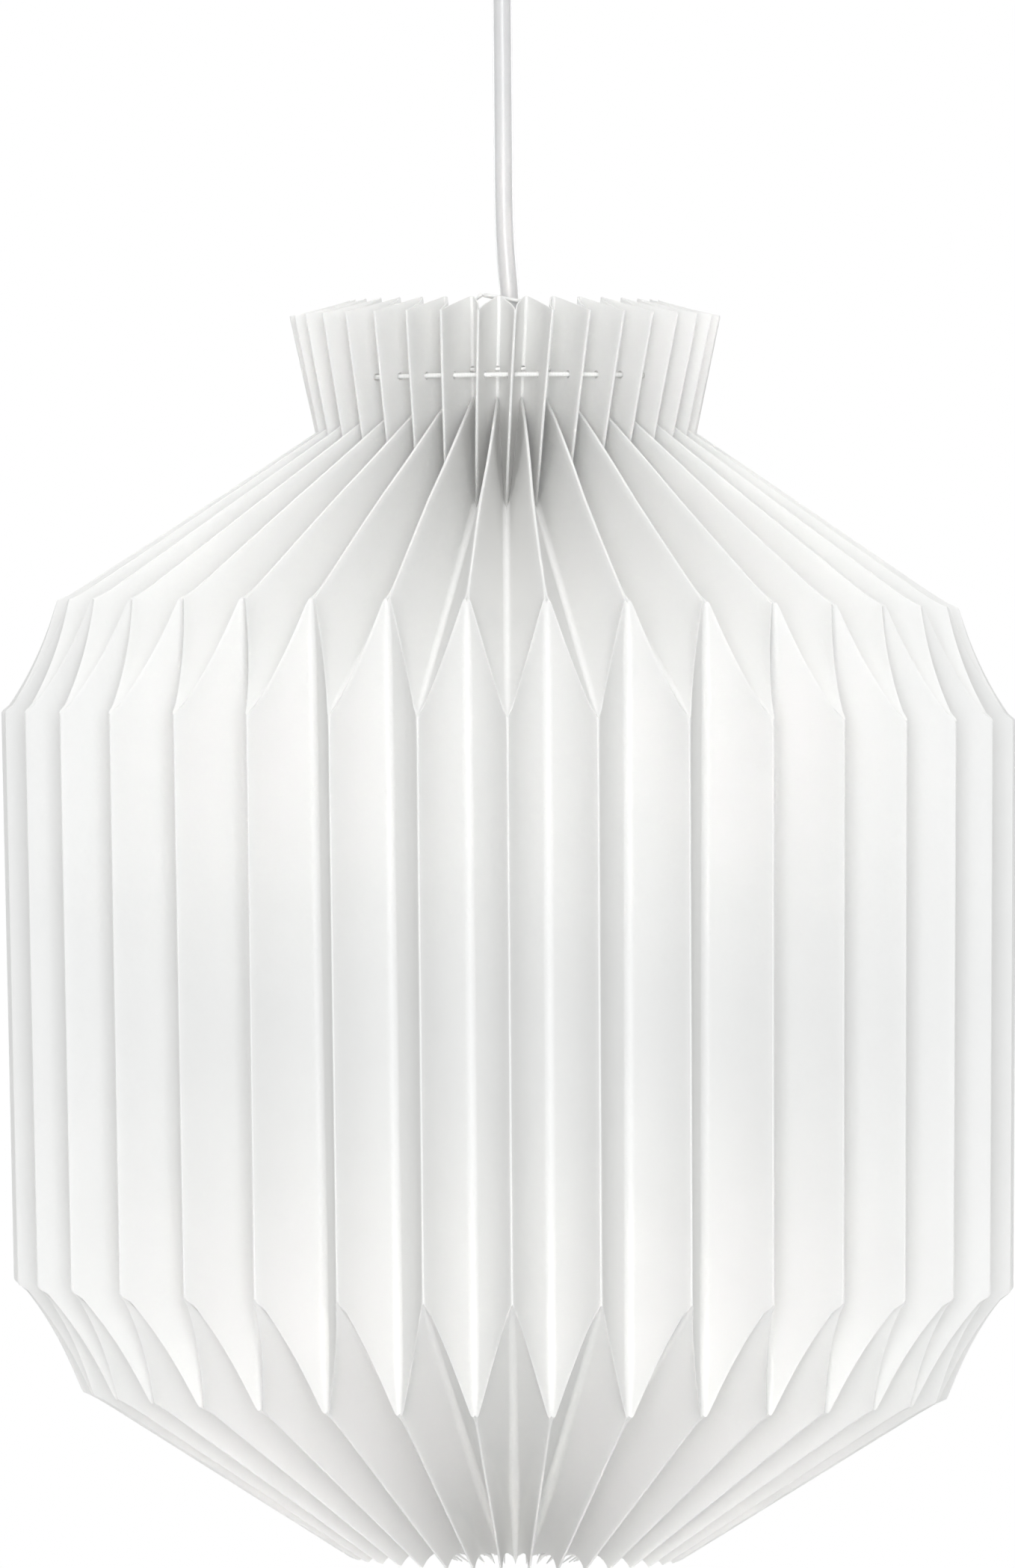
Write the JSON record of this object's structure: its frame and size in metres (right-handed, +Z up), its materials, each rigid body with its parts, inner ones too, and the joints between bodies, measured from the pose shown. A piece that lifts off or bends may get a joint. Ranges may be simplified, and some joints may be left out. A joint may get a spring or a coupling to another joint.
{
  "type": "pleated pendant lamp",
  "caption": "Pendant lamp with a cross-pleated white shade: flared collar, sloping shoulders, tall drum and tapered foot, hung on a round flex from a ceiling cup.",
  "frame": {"origin": "centre of the ceiling plate's top face, on the ceiling", "axes": "+Z up, away from the lamp; -Y is the front, where the pleated sheet is joined; the swing is from side to side along X"},
  "size_m": [0.3308, 0.3308, 0.5763],
  "materials": {
    "shade_sheet": "matt white translucent foil, creased",
    "white_string": "twisted thread",
    "white_wire": "white powder coat",
    "flex_sheath": "smooth white PVC",
    "core_insulation": "PVC insulation",
    "white_plastic": "moulded, semi-gloss",
    "natural_nylon": "moulded, satin",
    "zinc_steel": "zinc plated",
    "brass": "plain",
    "nickel_base": "rolled",
    "opal_glass": "opal white",
    "black_glass": "black"
  },
  "bodies": {
    "ceiling": {"ceiling_plate": "zinc_steel", "ceiling_hook": "zinc_steel", "cord_hanger": "white_plastic", "hanger_jaw": "white_plastic", "hanger_screws": "zinc_steel", "terminal_block": "natural_nylon", "terminal_screws": "brass", "flex_cores": "core_insulation", "cord_upper": "flex_sheath"},
    "cup": {"ceiling_cup": "white_plastic", "cord_grip": "white_plastic", "grip_nut": "white_plastic"},
    "grub_screw": {"cup_grub_screw": "natural_nylon"},
    "pendant": {"cord_lower": "flex_sheath", "cord_nipple": "white_plastic", "nipple_screw": "natural_nylon", "holder_cap": "white_plastic", "insulator": "natural_nylon", "socket_shell": "brass", "centre_contact": "brass", "holder_terminals": "brass", "holder_skirt": "white_plastic", "wire_carrier": "white_wire"},
    "lock_ring": {"lock_ring": "white_plastic"},
    "shade": {"pleated_shade": "shade_sheet", "gather_string": "white_string", "string_knot": "white_string", "seam_stitches": "white_string"},
    "bulb": {"bulb_globe": "opal_glass", "bulb_base": "nickel_base", "bulb_insulator": "black_glass", "bulb_tip": "brass"}
  },
  "joints": [
    {"name": "cup_slide", "type": "slide", "parent": "ceiling", "child": "cup", "axis": [0, 0, -1], "range_m": [0, 0.035]},
    {"name": "grub_screw_turn", "type": "hinge", "parent": "cup", "child": "grub_screw", "pos_m": [0.006, 0, -0.063], "axis": [1, 0, 0], "range_deg": [0, 720]},
    {"name": "swing", "type": "hinge", "parent": "ceiling", "child": "pendant", "pos_m": [0, 0, -0.104], "axis": [0, 1, 0], "range_deg": [-15, 15]},
    {"name": "lock_ring_turn", "type": "hinge", "parent": "pendant", "child": "lock_ring", "pos_m": [0, 0, -0.232], "axis": [0, 0, -1], "range_deg": [0, 1080]},
    {"name": "shade_turn", "type": "hinge", "parent": "pendant", "child": "shade", "pos_m": [0, 0, -0.247], "axis": [0, 0, 1], "continuous": true},
    {"name": "bulb_turn", "type": "hinge", "parent": "pendant", "child": "bulb", "pos_m": [0, 0, -0.245], "axis": [0, 0, -1], "range_deg": [0, 1080]}
  ]
}
